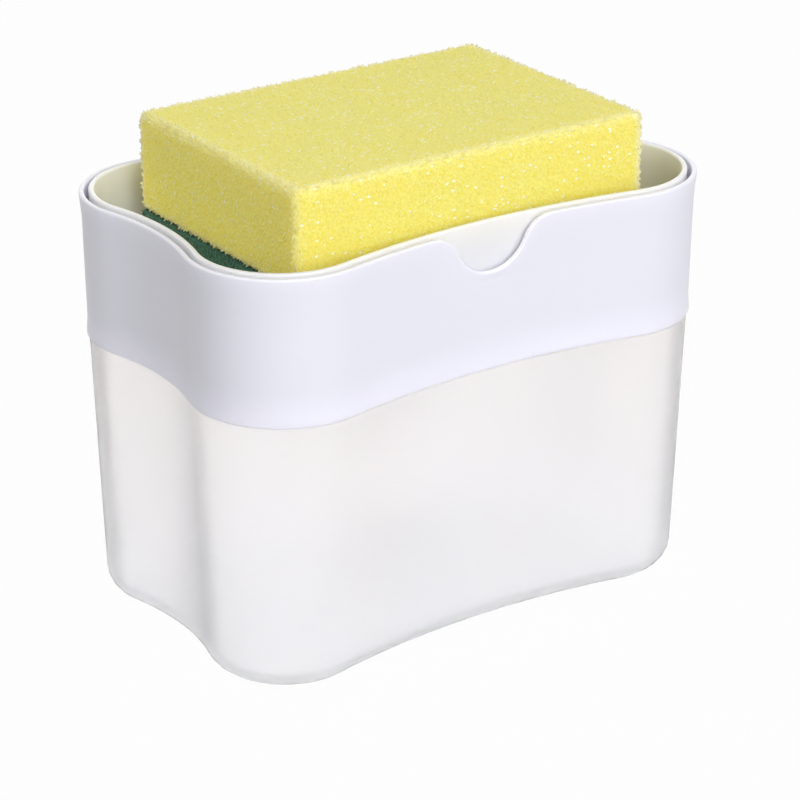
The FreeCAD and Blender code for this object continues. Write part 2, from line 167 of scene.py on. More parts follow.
# Colours; a pair is the two ends of a pattern
band_colours = ((0.85, 0.842, 0.97), (0.88, 0.872, 1.0))
tray_colours = ((0.97, 0.96, 0.945), (0.99, 0.98, 0.97))
# Yellow light bounced from the sponge, painted on the tray's inner walls
tray_painted_bounce_colour = (0.98, 0.95, 0.79)
tank_colours = ((0.938, 0.94, 0.953), (0.958, 0.938, 0.93))
# Foam yellow; the darker end is partly the foam's own mottle and partly painted shade in its sunk
# cells
foam_colours_and_painted_shade = ((0.915, 0.86, 0.29), (0.86, 0.75, 0.12))
foam_patch_colour = (0.93, 0.79, 0.14)
# Pale edge colour: wear, and painted backlight where light comes through the fuzz at the outline
foam_worn_backlit_colour = (0.96, 0.93, 0.72)
# Painted glints: pale spots in the foam's base colour
foam_painted_glint_colour = (1.0, 1.0, 0.84)
foam_sheen_colour = (1, 0.93, 0.5, 1)
# Scourer green; its dark end is painted shade between the fibres
scourer_colours_and_painted_shade = ((0.003, 0.035, 0.022), (0.025, 0.16, 0.10))
steel_colours = ((0.55, 0.55, 0.56), (0.72, 0.72, 0.72))
pump_colours = ((0.78, 0.78, 0.77), (0.84, 0.84, 0.83))
piston_colours = ((0.62, 0.66, 0.70), (0.70, 0.74, 0.77))
seal_colours = ((0.42, 0.42, 0.42), (0.50, 0.50, 0.50))
tube_colours = ((0.80, 0.82, 0.82), (0.86, 0.88, 0.88))
floor_colour = (0.45, 0.45, 0.45, 1)

# Roughness of the surfaces, and how unevenly it lies on moulded plastic
band_roughness = 0.36
tray_roughness = 0.36
tank_roughness = 0.6
pump_roughness = 0.38
piston_roughness = 0.45
seal_roughness = 0.7
tube_roughness = 0.36
foam_roughness = 0.8
glint_roughness = 0.25
scourer_roughness = 0.8
steel_roughness = 0.34
steel_roughness_reach = (0.29, 0.4)
floor_roughness = 0.9
gloss_unevenness = (0.85, 1.2)
smear_fineness = 3

# Light under the surfaces as share, tint and depth, and clear plastic
band_glow = (0.7, (1, 1, 1), 2.0 * mm)
tray_glow = (0.9, (1, 0.98, 0.92), 3.0 * mm)
tank_glow = (0.5, (1, 0.97, 0.95), 6.0 * mm)
foam_glow = (1.0, (1, 0.93, 0.4), 4.0 * mm)
foam_worn_glow_share = 0.1
tank_clearness = 0.9
tank_ior = 1.13
tube_clearness = 0.6

# Moulded plastic: sizes of its mottle, grain and waves, and the depth of its grain
shell_mottle = 50 * mm
tank_mottle = 40 * mm
part_mottle = 30 * mm
grain_size = 0.5 * mm
wave_size = 9.0 * mm
wave_share = 4.0
shell_grain = 0.006 * mm
tank_grain = 0.008 * mm
part_grain = 0.01 * mm
seal_grain = 0.03 * mm

# Facing of the tray's inner walls that carry the sponge's painted yellow bounce light, and the
# tank's cloud
painted_bounce_facing = (-20 * mm, -5 * mm)
cloud_size = 24 * mm
cloud_stretch = (1, 1, 0.6)
cloud_share = 1.2
cloud_reach = (0.4, 1.6)

# Foam patterns: cells with painted shade, patches, wear with painted backlight, painted glints of
# torn film, and gloss
cell_size = 0.6 * mm
cell_reach = (0.15, 0.8)
cell_sink = -0.6
cell_wall_size = 0.5 * mm
cell_wall_depth = 0.06 * mm
patch_size = 14 * mm
patch_reach = (0.35, 0.65)
patch_share = 0.3
worn_backlit_share = 0.75
glint_spacing = 1.5 * mm
glint_stretch = (0.75, 1.4, 1.2)
glint_reach = (0.16, 0.26)
glint_choice = (0.6, 0.62)
foam_shine = 0.2
foam_sheen = 0.15

# Scourer and steel patterns
strand_size = 0.5 * mm
strand_along = (1, 0.25, 1)
strand_across = (0.25, 1, 1)
strand_reach = (0.75, 1.2)
strand_depth = 0.5 * mm
scourer_sheen = 0.2
drawn_size = 0.6 * mm
drawn_stretch = (1, 1, 0.1)
drawn_reach = (0.3, 0.7)
drawn_depth = 0.01 * mm

# Studio: the floor, the sky's level, and each lamp's azimuth and elevation in degrees,
# distance and side in metres, power in watts and colour
floor_reach = 3.0
floor_drop = 0.1 * mm
floor_whiteness = 0.975
sky_level = 0.41
white = (1, 1, 1)
lamps = {
    "key": (-7, 28, 1.2, 0.9, 10.9, (0.95, 0.955, 1)),
    "top": (0, 85, 1.4, 1.0, 0.5, white),
    "fill": (-95, 40, 1.4, 1.2, 2.8, white),
    "back": (150, 12, 1.4, 1.2, 5.0, white),
}

# Camera, solved from the photograph's edges: angles in radians
camera_azimuth = -0.6067
camera_elevation = 0.4006
camera_distance = 706.08 * mm
camera_pan = 0.0032
camera_tilt = -0.0171
look_at = Vector((0, 0, 60.0 * mm))
focal_pixels = 2831.3
image_side = 800
sensor_width = 36.0
clip_near = 0.01
clip_far = 20

# Counts of steps
corner_steps = 36
short_side_steps = 14
long_side_steps = 40
notch_steps = 120
round_steps = 6
spring_steps = 48
spring_sides = 12

# The turn from which an edge is shaded sharp, and the seed of the sponge's torn skin
sharp_degrees = 40
random_seed = 11

# Levels that follow from the others
shoulder = band_bottom - seam_gap
neck_top = deck_top - deck_thickness
tray_rim = tray_high.z
tray_underside = tray_floor_top - tray_floor

# How far in from the outline each floor has its last wavy loop
floor_join = half_width / 3


def outline_arcs():
    """The eight arcs of the rim's outline: (centre x, centre y, radius, sense, start, sweep)."""
    corner_x = half_length - corner_radius
    corner_y = half_width - corner_radius
    long_half = 2 * math.atan(long_side_dip / corner_x)
    short_half = 2 * math.atan(short_side_dip / corner_y)
    long_reach = corner_x / math.sin(long_half)
    short_reach = corner_y / math.sin(short_half)
    long_y = corner_y + long_reach * math.cos(long_half)
    short_x = corner_x + short_reach * math.cos(short_half)
    quarter = math.pi / 2
    sweep = quarter + short_half + long_half
    centres = [(short_x, 0), (0, long_y), (-short_x, 0), (0, -long_y)]
    reaches = [short_reach, long_reach, short_reach, long_reach]
    halves = [short_half, long_half, short_half, long_half]
    signs = [(1, 1), (-1, 1), (-1, -1), (1, -1)]
    arcs = []
    for index in range(4):
        facing = index * quarter + math.pi
        half = halves[index]
        x, y = centres[index]
        arcs.append((x, y, reaches[index] - corner_radius, -1, facing + half, -2 * half))
        sign_x, sign_y = signs[index]
        start = index * quarter - half
        arcs.append((sign_x * corner_x, sign_y * corner_y, corner_radius, 1, start, sweep))
    return arcs


def arc_shares(index, with_notch):
    """Shares of an arc at which it is sampled; the front side is dense round the notch."""
    if index % 2:
        return np.linspace(0, 1, corner_steps, endpoint=False)
    if index in (0, 4):
        return np.linspace(0, 1, short_side_steps, endpoint=False)
    if index == 2 or not with_notch:
        return np.linspace(0, 1, long_side_steps, endpoint=False)
    notch_share = notch_dense_share * notch_half_width() / (half_length - corner_radius)
    low = 0.5 - notch_share / 2
    high = 0.5 + notch_share / 2
    side = long_side_steps // 3
    return np.concatenate([
        np.linspace(0, low, side, endpoint=False),
        np.linspace(low, high, notch_steps, endpoint=False),
        np.linspace(high, 1, side, endpoint=False),
    ])


def sample_outline(with_notch):
    """Points of the outline at the rim and their outward directions."""
    points = []
    normals = []
    for index, (x, y, radius, sense, start, sweep) in enumerate(outline_arcs()):
        for share in arc_shares(index, with_notch):
            angle = start + share * sweep
            outward = np.array((math.cos(angle), math.sin(angle)))
            points.append(np.array((x, y)) + radius * outward)
            normals.append(sense * outward)
    return np.array(points), np.array(normals)


def notch_half_width():
    """Half the width of the finger notch at the rim."""
    radii = notch_bottom_radius + notch_shoulder_radius
    return radii * math.sin(math.acos(1 - notch_depth / radii))


def rim_at(x, y):
    """Height of the band's rim at this place, lower in the finger notch."""
    half = notch_half_width()
    if y > 0 or abs(x) >= half:
        return rim_height
    join = half * notch_bottom_radius / (notch_bottom_radius + notch_shoulder_radius)
    if abs(x) < join:
        middle = rim_height - notch_depth + notch_bottom_radius
        return middle - math.sqrt(notch_bottom_radius ** 2 - x ** 2)
    rise = math.sqrt(notch_shoulder_radius ** 2 - (half - abs(x)) ** 2)
    return rim_height - notch_shoulder_radius + rise


def rounded(corners):
    """An open profile of (across, height, radius) corners with its corners rounded."""
    path = []
    for index, (across, height, radius) in enumerate(corners):
        here = Vector((across, height))
        if radius == 0:
            path.append((across, height))
            continue
        before = (Vector(corners[index - 1][:2]) - here).normalized()
        after = (Vector(corners[index + 1][:2]) - here).normalized()
        half = before.angle(after) / 2
        centre = here + (before + after).normalized() * (radius / math.sin(half))
        first = here + before * (radius / math.tan(half)) - centre
        last = here + after * (radius / math.tan(half)) - centre
        turn = first.angle(last)
        for step in range(round_steps + 1):
            share = step / round_steps
            arm = first * math.sin((1 - share) * turn) + last * math.sin(share * turn)
            path.append(tuple(centre + arm / math.sin(turn)))
    return path


def outline_loops(sample, corners):
    """Loops that follow the outline at each inset and height of a rounded profile."""
    points, normals = sample
    loops = []
    for inset, height in rounded(corners):
        plan = points - inset * normals
        loops.append(np.column_stack([plan, np.full(len(plan), height)]))
    return loops


def circle_loops(sample, corners):
    """Round loops with as many points as the outline, lined up with them."""
    points = sample[0]
    directions = points / np.linalg.norm(points, axis=1)[:, None]
    loops = []
    for radius, height in rounded(corners):
        loops.append(np.column_stack([directions * radius, np.full(len(points), height)]))
    return loops


def skin(name, loops, closed=False, caps=False):
    """A mesh of quads from loop to loop. It can close on itself, or be capped at both ends."""
    count = len(loops[0])
    vertices = np.concatenate(loops)
    faces = []
    rows = len(loops) if closed else len(loops) - 1
    for row in range(rows):
        this = row * count
        above = (row + 1) % len(loops) * count
        for column in range(count):
            beside = (column + 1) % count
            faces.append((this + column, this + beside, above + beside, above + column))
    if caps:
        faces.append(tuple(reversed(range(count))))
        faces.append(tuple(range((len(loops) - 1) * count, len(loops) * count)))
    mesh = bpy.data.meshes.new(name)
    mesh.from_pydata(vertices.tolist(), [], faces)
    mesh.validate()
    return mesh


def finish_mesh(mesh):
    """Turns every face outwards and shades the mesh smooth, with sharp edges kept."""
    work = bmesh.new()
    work.from_mesh(mesh)
    bmesh.ops.recalc_face_normals(work, faces=work.faces)
    work.to_mesh(mesh)
    work.free()
    mesh.shade_smooth()
    mesh.set_sharp_from_angle(angle=math.radians(sharp_degrees))


def place(mesh, body, material, slot, *nodes):
    """Makes a piece of the mesh that rides on a body and stands for CAD nodes."""
    piece = bpy.data.objects.new(mesh.name, mesh)
    bpy.context.scene.collection.objects.link(piece)
    mesh.materials.append(material)
    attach(piece, body)
    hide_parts(*nodes)
    return piece


def weight_normals(piece):
    """Keeps big faces shaded flat and leaves the bend to the small rounds."""
    modifier = piece.modifiers.new("weighted_normals", "WEIGHTED_NORMAL")
    modifier.keep_sharp = True


def band_inset(height):
    """How far the band's outside lies inside the rim's outline at this height."""
    return rim_flare + band_draft_share * (rim_height - height)


def tank_inset(height):
    """The same for the tank's outside."""
    return band_inset(band_bottom) + tank_step + tank_draft_share * (shoulder - height)


def tray_inset(height):
    """The same for the tray's outside."""
    return band_wall + tray_gap + tray_draft_share * (tray_rim - height)


def follow_notch(loop):
    """Draws the upper part of a band loop down into the finger notch."""
    blend_bottom = rim_height - notch_blend_depth
    edge_bottom = rim_height - 2 * rim_round
    for vertex in loop:
        drop = rim_height - rim_at(vertex[0], vertex[1])
        if drop == 0 or vertex[2] <= blend_bottom:
            continue
        if vertex[2] >= edge_bottom:
            vertex[2] -= drop
        else:
            vertex[2] -= drop * (vertex[2] - blend_bottom) / (edge_bottom - blend_bottom)


def make_band(material):
    """White band: wall with its flares, notch and rounded edges, then the deck and pump well."""
    sample = sample_outline(True)
    skirt_top = band_bottom + skirt_flare_height
    flare_bottom = rim_height - rim_flare_height
    skirt_inset = band_inset(band_bottom)
    blend_bottom = rim_height - notch_blend_depth
    edge_bottom = rim_height - 2 * rim_round
    wall = outline_loops(sample, [
        (skirt_inset + band_wall, neck_top, 0),
        (skirt_inset + band_wall, band_bottom, skirt_round),
        (skirt_inset - skirt_flare, band_bottom, skirt_round),
        (band_inset(skirt_top), skirt_top, 0),
        (band_inset(blend_bottom), blend_bottom, 0),
        (band_inset(flare_bottom), flare_bottom, 0),
        (0, edge_bottom, 0),
        (0, rim_height, rim_round),
        (band_wall, rim_height, rim_round),
        (band_wall, edge_bottom, 0),
        (band_wall + band_inset(flare_bottom), flare_bottom, 0),
        (band_wall + band_inset(blend_bottom), blend_bottom, 0),
        (band_wall + band_inset(deck_top), deck_top, deck_fillet),
        (floor_join, deck_top, 0),
    ])
    for loop in wall:
        follow_notch(loop)
    well_floor_top = deck_top - well_depth
    well_outside = well_radius + well_wall
    well = circle_loops(sample, [
        (well_radius + 2 * well_fillet, deck_top, 0),
        (well_radius, deck_top, well_fillet),
        (well_radius, well_floor_top, well_fillet),
        (pump_hole, well_floor_top, 0),
        (pump_hole, well_bottom, 0),
        (well_outside, well_bottom, well_fillet),
        (well_outside, neck_top, 0),
    ])
    mesh = skin("wavy_band", wall + well, closed=True)
    finish_mesh(mesh)
    piece = place(mesh, "deck", material, "white_band", "deck_band")
    weight_normals(piece)


def make_tank(material):
    """Frosted tank: one closed wall with a big round at the base and the stepped-in neck."""
    sample = sample_outline(False)
    neck = band_inset(band_bottom) + band_wall + tank_neck_clearance
    throat = neck + tank_neck_wall
    joggle = shoulder - tank_joggle_height
    inner_round = tank_base_round - tank_wall
    loops = outline_loops(sample, [
        (floor_join, 0, 0),
        (tank_inset(0), 0, tank_base_round),
        (tank_inset(shoulder), shoulder, tank_shoulder_round),
        (neck, shoulder, 0),
        (neck, neck_top, tank_shoulder_round),
        (throat, neck_top, tank_shoulder_round),
        (throat, shoulder, 0),
        (tank_inset(joggle) + tank_wall, joggle, 0),
        (tank_inset(tank_floor) + tank_wall, tank_floor, inner_round),
        (floor_join, tank_floor, 0),
    ])
    mesh = skin("frosted_tank", loops, caps=True)
    finish_mesh(mesh)
    piece = place(mesh, "tank", material, "frosted_tank", "tank")
    weight_normals(piece)


def slot_cutter():
    """The four round-ended drain slots as one mesh."""
    work = bmesh.new()
    half_bar = (drain_slot_length - drain_slot_width) / 2
    radius = drain_slot_width / 2
    for side_x in (-1, 1):
        for side_y in (-1, 1):
            x = side_x * drain_slot_pitch_share * tray_rib_pitch
            y = side_y * drain_slot_place
            ring = []
            for end in (1, -1):
                for step in range(round_steps + 1):
                    angle = math.pi * step / round_steps + (0 if end == 1 else math.pi)
                    across = x + radius * math.cos(angle)
                    ring.append((across, y + end * half_bar + radius * math.sin(angle)))
            low = [work.verts.new((*at, tray_underside - tray_floor)) for at in ring]
            high = [work.verts.new((*at, tray_floor_top + tray_floor)) for at in ring]
            work.faces.new(list(reversed(low)))
            work.faces.new(high)
            for index in range(len(ring)):
                after = (index + 1) % len(ring)
                work.faces.new((low[index], low[after], high[after], high[index]))
    mesh = bpy.data.meshes.new("slot_cutter")
    work.to_mesh(mesh)
    work.free()
    return mesh


def rib_mesh(x, half_row):
    """One low rib with a rounded back, sunk a little into the tray's floor."""
    half = tray_rib_width / 2
    crown = [(-half, -tray_floor / 2), (-half, tray_rib_height - half)]
    for step in range(1, round_steps):
        angle = math.pi * (1 - step / round_steps)
        crown.append((half * math.cos(angle), tray_rib_height - half + half * math.sin(angle)))
    crown += [(half, tray_rib_height - half), (half, -tray_floor / 2)]
    vertices = [
        (x + across, side * half_row, tray_floor_top + up)
        for side in (-1, 1) for across, up in crown
    ]
    count = len(crown)
    faces = [tuple(range(count)), tuple(reversed(range(count, 2 * count)))]
    for index in range(count):
        after = (index + 1) % count
        faces.append((index, index + count, after + count, after))
    return vertices, faces


def rib_set(half_row):
    """All the ribs as one mesh, each a closed bar."""
    work = bmesh.new()
    for step in range(1, tray_rib_pairs + 1):
        for side in (-1, 1):
            vertices, faces = rib_mesh(side * step * tray_rib_pitch, half_row)
            made = [work.verts.new(corner) for corner in vertices]
            for face in faces:
                work.faces.new([made[index] for index in face])
    mesh = bpy.data.meshes.new("ribs")
    work.to_mesh(mesh)
    work.free()
    finish_mesh(mesh)
    return mesh


def combined(mesh, other, operation):
    """The mesh with the other one's volume added or taken away, as a new mesh of the same name."""
    body = bpy.data.objects.new("first", mesh)
    tool = bpy.data.objects.new("second", other)
    for item in (body, tool):
        bpy.context.scene.collection.objects.link(item)
    modifier = body.modifiers.new("join", "BOOLEAN")
    modifier.operation = operation
    modifier.object = tool
    evaluated = body.evaluated_get(bpy.context.evaluated_depsgraph_get())
    result = bpy.data.meshes.new_from_object(evaluated)
    name = mesh.name
    bpy.data.objects.remove(body)
    bpy.data.objects.remove(tool)
    bpy.data.meshes.remove(mesh)
    result.name = name
    return result


def make_tray(material):
    """Cream tray: rounded rim, fillets, a ribbed floor with slots and the socket below it."""
    sample = sample_outline(False)
    outside = tray_inset(tray_underside)
    inside = tray_inset(tray_floor_top) + tray_wall
    rim_outside = tray_inset(tray_rim)
    shell = outline_loops(sample, [
        (floor_join, tray_underside, 0),
        (outside, tray_underside, tray_round),
        (rim_outside, tray_rim, tray_rim_round),
        (rim_outside + tray_wall, tray_rim, tray_rim_round),
        (inside, tray_floor_top, tray_round - tray_wall),
        (floor_join, tray_floor_top, 0),
    ])
    middle = circle_loops(sample, [
        (spout_hole, tray_floor_top, 0),
        (spout_hole, tray_underside, 0),
        (socket_inner, tray_underside, 0),
        (socket_inner, tray_low.z, 0),
        (socket_inner + socket_wall, tray_low.z, 0),
        (socket_inner + socket_wall, tray_underside, 0),
    ])
    mesh = skin("cream_tray", shell + middle, closed=True)
    finish_mesh(mesh)
    mesh = combined(mesh, slot_cutter(), "DIFFERENCE")
    mesh = combined(mesh, rib_set(half_width - long_side_dip - inside - tray_rib_end_gap), "UNION")
    finish_mesh(mesh)
    piece = place(mesh, "tray", material, "cream_tray", "sponge_tray")
    weight_normals(piece)


def make_spring(material):
    """Return spring: one wire that goes with the plunger, between its two seats."""
    length = spring_high.z - spring_low.z
    pitch = (length - 2 * spring_wire_radius) / spring_turns
    girth = 2 * math.pi * spring_coil_radius
    loops = []
    for step in range(spring_turns * spring_steps + 1):
        angle = 2 * math.pi * step / spring_steps
        outward = np.array((math.cos(angle), math.sin(angle), 0))
        heading = np.array((-math.sin(angle) * girth, math.cos(angle) * girth, pitch))
        upward = np.cross(outward, heading / np.linalg.norm(heading))
        rise = spring_low.z + spring_wire_radius + pitch * step / spring_steps
        centre = outward * spring_coil_radius + np.array((0, 0, rise))
        loops.append(np.array([
            centre + spring_wire_radius * (math.cos(turn) * outward + math.sin(turn) * upward)
            for turn in np.linspace(0, 2 * math.pi, spring_sides, endpoint=False)
        ]))
    mesh = skin("pump_spring", loops, caps=True)
    finish_mesh(mesh)
    piece = place(mesh, "plunger", material, "steel", "return_spring")
    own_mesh(piece)


def rounded_skin(places, low, high, edge):
    """Moves places on a box to its rounded skin, and gives the outward way at each."""
    core = np.clip(places, low + edge, high - edge)
    ways = places - core
    ways /= np.linalg.norm(ways, axis=1)[:, None]
    return core + ways * edge, ways


def graded_places(low, high, step, fine_step, fine_reach):
    """Places along one side of a block, closer together near both of its ends."""
    fine = max(1, round(fine_reach / fine_step))
    middle = max(1, round((high - low - 2 * fine_reach) / step))
    return np.concatenate([
        np.linspace(low, low + fine_reach, fine, endpoint=False),
        np.linspace(low + fine_reach, high - fine_reach, middle, endpoint=False),
        np.linspace(high - fine_reach, high, fine + 1),
    ])


def soft_block(name, low, high, edge, steps):
    """A closed block of small quads with rounded edges, and the outward way at each vertex."""
    sides = [graded_places(low[axis], high[axis], *steps) for axis in range(3)]
    counts = [len(side) - 1 for side in sides]
    known = {}
    faces = []
    for axis in range(3):
        across, up = (axis + 1) % 3, (axis + 2) % 3
        for level in (0, counts[axis]):
            for i in range(counts[across]):
                for j in range(counts[up]):
                    ring = []
                    for add_i, add_j in ((0, 0), (1, 0), (1, 1), (0, 1)):
                        grid = [0, 0, 0]
                        grid[axis] = level
                        grid[across] = i + add_i
                        grid[up] = j + add_j
                        ring.append(known.setdefault(tuple(grid), len(known)))
                    faces.append(ring if level else ring[::-1])
    at = np.array(list(known))
    places = np.stack([sides[axis][at[:, axis]] for axis in range(3)], axis=1)
    places, ways = rounded_skin(places, low, high, edge)
    mesh = bpy.data.meshes.new(name)
    mesh.from_pydata(places.tolist(), [], faces)
    return mesh, places, ways


def foam_relief(places, wear, chance):
    """How far the foam's skin stands out: shallow cells, and torn struts most at its edges."""
    heights = np.empty(len(places))
    for index, at in enumerate(places):
        spot = Vector(at)
        distances = noise.voronoi(spot / foam_cell)[0]
        cell = min(1.0, (distances[1] - distances[0]) * foam_cell_steepness)
        swell = foam_swell * noise.noise(spot / foam_swell_size)
        heights[index] = swell - foam_cell_depth * cell
    torn = foam_face_share + (1 - foam_face_share) * wear
    return heights + foam_strut * torn * chance ** foam_strut_rarity


def scourer_relief(places, wear, chance):
    """How far the scourer's skin stands out here: matted fibres and a few loose ends."""
    heights = np.empty(len(places))
    for index, at in enumerate(places):
        matting = noise.turbulence(Vector(at) / scourer_fibre, scourer_octaves, True)
        heights[index] = -scourer_depth * matting
    loose = scourer_face_share + (1 - scourer_face_share) * wear
    return heights + scourer_strand * loose * chance ** scourer_strand_rarity


def edge_wear(places, low, high, reach):
    """1 on an edge of the block, fading to 0 at this reach from it."""
    nearest = np.sort(np.minimum(places - low, high - places), axis=1)
    return np.clip(1 - nearest[:, 1] / reach, 0, 1)


def backlight_off_near_edges(places, low, high):
    """1 away from the edges nearest the lens, less along them: their painted backlight is weaker
    there.
    """
    beside = (near_backlight_cut * np.clip(1 - (places[:, :2] - low[:2]) / foam_wear, 0, 1)).max(axis=1)
    far = (places[:, :2] > high[:2] - foam_wear).any(axis=1)
    return 1 - np.where(far, 0, beside)


def make_soft(name, low, high, edge, steps, skin_relief, material, slot, node):
    """A sponge layer: one closed block whose skin carries its relief, and the wear of its edges
    with their painted backlight.
    """
    low, high = np.array(low), np.array(high)
    mesh, places, ways = soft_block(name, low, high, edge, steps)
    wear = edge_wear(places, low, high, foam_wear)
    chance = np.random.RandomState(random_seed).random_sample(len(places))
    moved = places + ways * skin_relief(places, wear, chance)[:, None]
    moved[:, 2] = np.maximum(moved[:, 2], low[2])
    mesh.vertices.foreach_set("co", moved.ravel())
    # The pale foam edges drawn from this are partly wear and partly painted backlight, weaker
    # along the edges nearest the lens
    wear_and_backlight = wear * backlight_off_near_edges(places, low, high)
    mesh.attributes.new("wear", "FLOAT", "POINT").data.foreach_set("value", wear_and_backlight)
    mesh.shade_flat()
    piece = place(mesh, "sponge", material, slot, node)


def new_material(name, roughness, ior=1.5):
    """A material with its principled shader and the object's own coordinates."""
    material = bpy.data.materials.new(name)
    material.use_nodes = True
    tree = material.node_tree
    shader = tree.nodes["Principled BSDF"]
    shader.inputs["Roughness"].default_value = roughness
    shader.inputs["IOR"].default_value = ior
    coordinates = tree.nodes.new("ShaderNodeTexCoord").outputs["Object"]
    return material, tree, shader, coordinates


def noise_texture(tree, coordinates, size, detail, stretch=(1, 1, 1)):
    """A noise pattern whose blobs are about this many metres across."""
    mapping = tree.nodes.new("ShaderNodeMapping")
    mapping.inputs["Scale"].default_value = [part / size for part in stretch]
    texture = tree.nodes.new("ShaderNodeTexNoise")
    texture.inputs["Scale"].default_value = 1
    texture.inputs["Detail"].default_value = detail
    tree.links.new(coordinates, mapping.inputs["Vector"])
    tree.links.new(mapping.outputs["Vector"], texture.inputs["Vector"])
    return texture.outputs["Fac"]


def cell_texture(tree, coordinates, size):
    """A cell pattern whose cells are about this many metres across."""
    texture = tree.nodes.new("ShaderNodeTexVoronoi")
    texture.inputs["Scale"].default_value = 1 / size
    tree.links.new(coordinates, texture.inputs["Vector"])
    return texture.outputs["Distance"]


def ramp(tree, value, low, high, colours):
    """Turns a value between low and high into a colour between two colours."""
    node = tree.nodes.new("ShaderNodeValToRGB")
    node.color_ramp.elements[0].position = low
    node.color_ramp.elements[0].color = (*colours[0], 1)
    node.color_ramp.elements[1].position = high
    node.color_ramp.elements[1].color = (*colours[1], 1)
    tree.links.new(value, node.inputs["Fac"])
    return node.outputs["Color"]


def spread(tree, value, low, high, to_low, to_high):
    """Maps a value from one range to another."""
    node = tree.nodes.new("ShaderNodeMapRange")
    node.inputs["From Min"].default_value = low
    node.inputs["From Max"].default_value = high
    node.inputs["To Min"].default_value = to_low
    node.inputs["To Max"].default_value = to_high
    tree.links.new(value, node.inputs["Value"])
    return node.outputs["Result"]


def mixed(tree, factor, first, second):
    """Mixes a pattern's colour with a plain one."""
    node = tree.nodes.new("ShaderNodeMix")
    node.data_type = "RGBA"
    tree.links.new(factor, node.inputs["Factor"])
    tree.links.new(first, node.inputs["A"])
    node.inputs["B"].default_value = (*second, 1)
    return node.outputs["Result"]


def summed(tree, first, second, share):
    """first + share * second."""
    node = tree.nodes.new("ShaderNodeMath")
    node.operation = "MULTIPLY_ADD"
    node.inputs[1].default_value = share
    tree.links.new(second, node.inputs[0])
    tree.links.new(first, node.inputs[2])
    return node.outputs["Value"]


def bump(tree, shader, height, depth):
    """Bumps the shader by this height pattern, depth metres deep."""
    node = tree.nodes.new("ShaderNodeBump")
    node.inputs["Distance"].default_value = depth
    tree.links.new(height, node.inputs["Height"])
    tree.links.new(node.outputs["Normal"], shader.inputs["Normal"])


def satin_skin(tree, shader, coordinates, roughness, grain, mottle):
    """The skin of moulded plastic: an uneven gloss, a fine grain and a faint waviness."""
    smear = noise_texture(tree, coordinates, mottle / smear_fineness, detail=4.0)
    low, high = (roughness * share for share in gloss_unevenness)
    tree.links.new(spread(tree, smear, 0.0, 1.0, low, high), shader.inputs["Roughness"])
    fine = noise_texture(tree, coordinates, grain_size, detail=2.0)
    wavy = noise_texture(tree, coordinates, wave_size, detail=1.0)
    bump(tree, shader, summed(tree, fine, wavy, wave_share), grain)


def soften(shader, weight, tint, depth):
    """Lets light spread this deep under the surface."""
    shader.inputs["Subsurface Weight"].default_value = weight
    shader.inputs["Subsurface Radius"].default_value = tint
    shader.inputs["Subsurface Scale"].default_value = depth


def moulded_plastic(name, colours, roughness, grain, mottle=part_mottle):
    """Moulded plastic: faint flow mottle, satin grain and an uneven gloss."""
    material, tree, shader, coordinates = new_material(name, roughness)
    flow = noise_texture(tree, coordinates, mottle, detail=3.0)
    tree.links.new(ramp(tree, flow, 0.0, 1.0, colours), shader.inputs["Base Color"])
    satin_skin(tree, shader, coordinates, roughness, grain, mottle)
    return material, shader


def band_material():
    """White plastic with a faint blue cast."""
    material, shader = moulded_plastic(
        "band_white", band_colours, band_roughness, shell_grain, shell_mottle,
    )
    soften(shader, *band_glow)
    return material


def inward(tree, coordinates):
    """1 on walls that face the middle of the caddy, 0 on the others."""
    flat = tree.nodes.new("ShaderNodeVectorMath")
    flat.operation = "MULTIPLY"
    flat.inputs[1].default_value = (1, 1, 0)
    tree.links.new(coordinates, flat.inputs[0])
    along = tree.nodes.new("ShaderNodeVectorMath")
    along.operation = "DOT_PRODUCT"
    tree.links.new(flat.outputs["Vector"], along.inputs[0])
    tree.links.new(coordinates.node.outputs["Normal"], along.inputs[1])
    return spread(tree, along.outputs["Value"], *painted_bounce_facing, 1.0, 0.0)


def tray_material():
    """Cream plastic, with the sponge's yellow bounce light painted on the inner walls beside it.
    """
    material, tree, shader, coordinates = new_material("tray_cream", tray_roughness)
    flow = noise_texture(tree, coordinates, shell_mottle, detail=3.0)
    cream = ramp(tree, flow, 0.0, 1.0, tray_colours)
    # Painted bounce light: walls that face the middle of the caddy are tinted yellow
    colour = mixed(tree, inward(tree, coordinates), cream, tray_painted_bounce_colour)
    tree.links.new(colour, shader.inputs["Base Color"])
    satin_skin(tree, shader, coordinates, tray_roughness, shell_grain, shell_mottle)
    soften(shader, *tray_glow)
    return material


def tank_material():
    """Frosted polypropylene: clouded, warmer near the seam and cooler at the base."""
    material, tree, shader, coordinates = new_material("tank_frosted", tank_roughness, tank_ior)
    axes = tree.nodes.new("ShaderNodeSeparateXYZ")
    tree.links.new(coordinates, axes.inputs["Vector"])
    rise = spread(tree, axes.outputs["Z"], 0.0, shoulder, 0.0, 1.0)
    cloud = noise_texture(tree, coordinates, cloud_size, detail=3.0, stretch=cloud_stretch)
    tone = spread(tree, summed(tree, rise, cloud, cloud_share), *cloud_reach, 0.0, 1.0)
    tree.links.new(ramp(tree, tone, 0.0, 1.0, tank_colours), shader.inputs["Base Color"])
    satin_skin(tree, shader, coordinates, tank_roughness, tank_grain, tank_mottle)
    soften(shader, *tank_glow)
    shader.inputs["Transmission Weight"].default_value = tank_clearness
    return material


